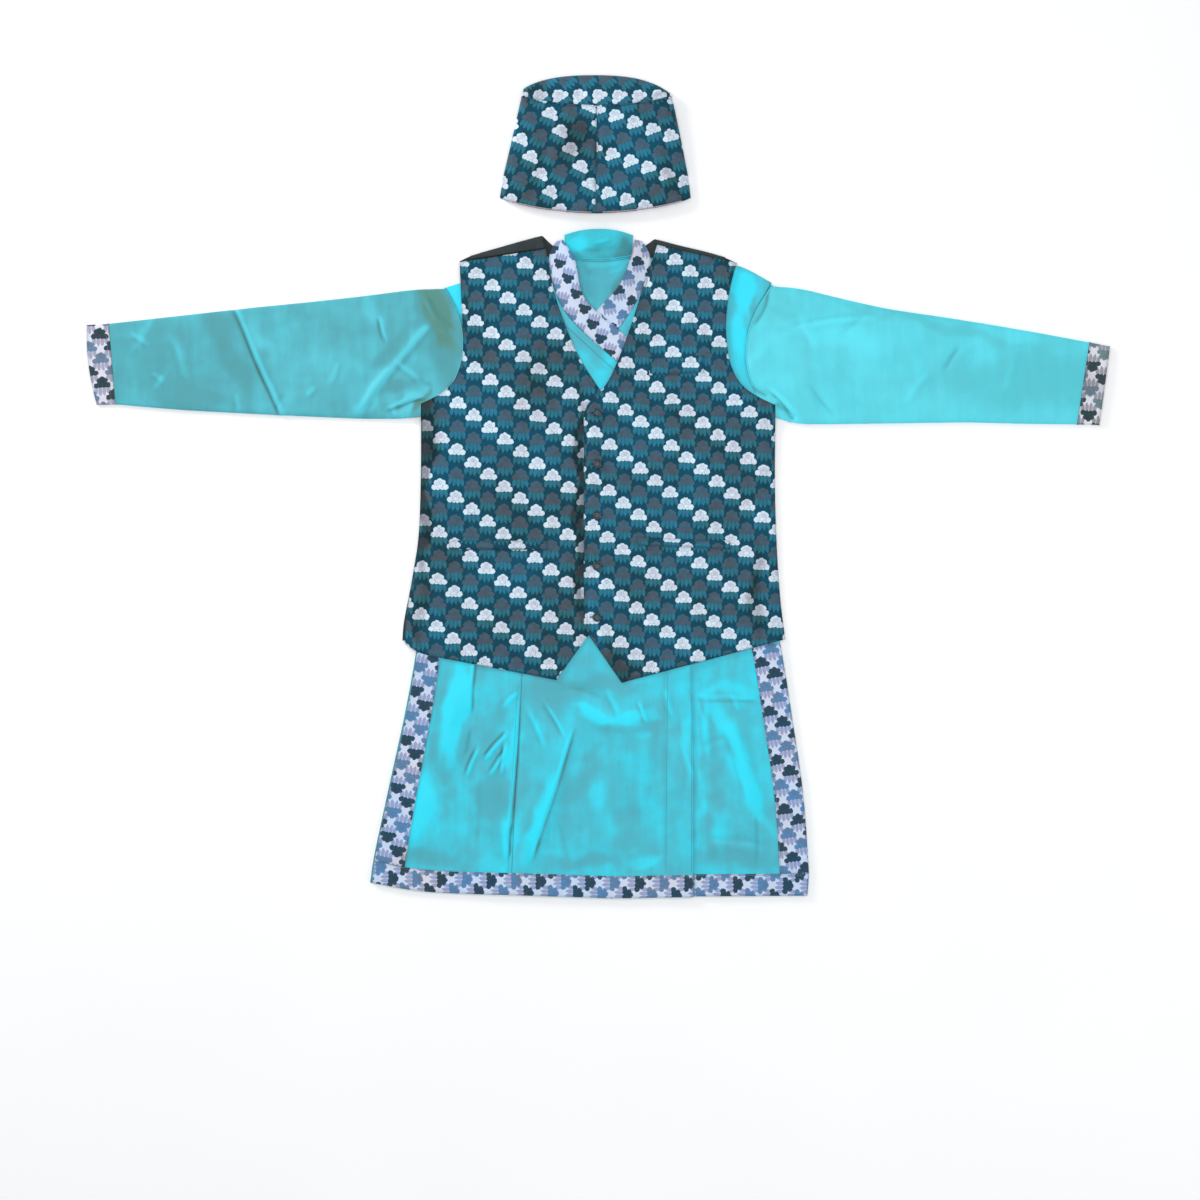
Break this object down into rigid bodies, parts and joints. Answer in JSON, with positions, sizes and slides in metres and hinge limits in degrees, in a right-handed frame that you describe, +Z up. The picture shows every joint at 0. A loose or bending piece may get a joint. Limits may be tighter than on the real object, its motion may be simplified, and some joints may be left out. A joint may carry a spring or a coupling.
{
  "type": "daura, waistcoat and topi set",
  "caption": "Long wrap-fronted tunic laid flat with its sleeves spread, a buttoned waistcoat with pointed hems over it, and a folded cap with an oval crown above the collar.",
  "frame": {"origin": "middle of the layout from cuff to cuff and from cap to hem, on the surface it lies on", "axes": "+X towards the wearer's left cuff, +Y towards the cap, +Z up from the surface"},
  "size_m": [1.5342, 1.235, 0.018],
  "materials": {
    "teal_cloth": "smooth woven cloth with a soft sheen",
    "light_print": "matt woven cloth, flower print on a pale ground",
    "dark_print": "matt woven cloth, flower print on a dark teal ground",
    "dark_back": "plain matt woven cloth",
    "button": "smooth, slightly glossy"
  },
  "bodies": {
    "root": {"daura_back": "teal_cloth", "daura_front_right": "teal_cloth", "daura_side_right": "teal_cloth", "daura_front_left": "teal_cloth", "daura_sleeve_right": "teal_cloth", "daura_sleeve_left": "teal_cloth", "daura_collar_back": "teal_cloth", "daura_cuff_right": "light_print", "daura_cuff_left": "light_print", "daura_collar_right": "light_print", "daura_collar_left": "light_print", "daura_side_border_right": "light_print", "daura_side_border_left": "light_print", "daura_hem_border_right": "light_print", "daura_hem_border_left": "light_print", "waistcoat_back": "dark_back", "waistcoat_shoulder_right": "dark_back", "waistcoat_shoulder_left": "dark_back", "waistcoat_front_right": "dark_print", "waistcoat_front_left": "dark_print", "waistcoat_welt_hip_right": "dark_print", "waistcoat_welt_hip_left": "dark_print", "waistcoat_welt_chest": "dark_print", "waistcoat_button_1": "button", "waistcoat_button_2": "button", "waistcoat_button_3": "button", "waistcoat_button_4": "button", "waistcoat_button_5": "button", "topi_band_right": "dark_print", "topi_band_left": "dark_print", "topi_crown": "dark_print"}
  },
  "joints": []
}
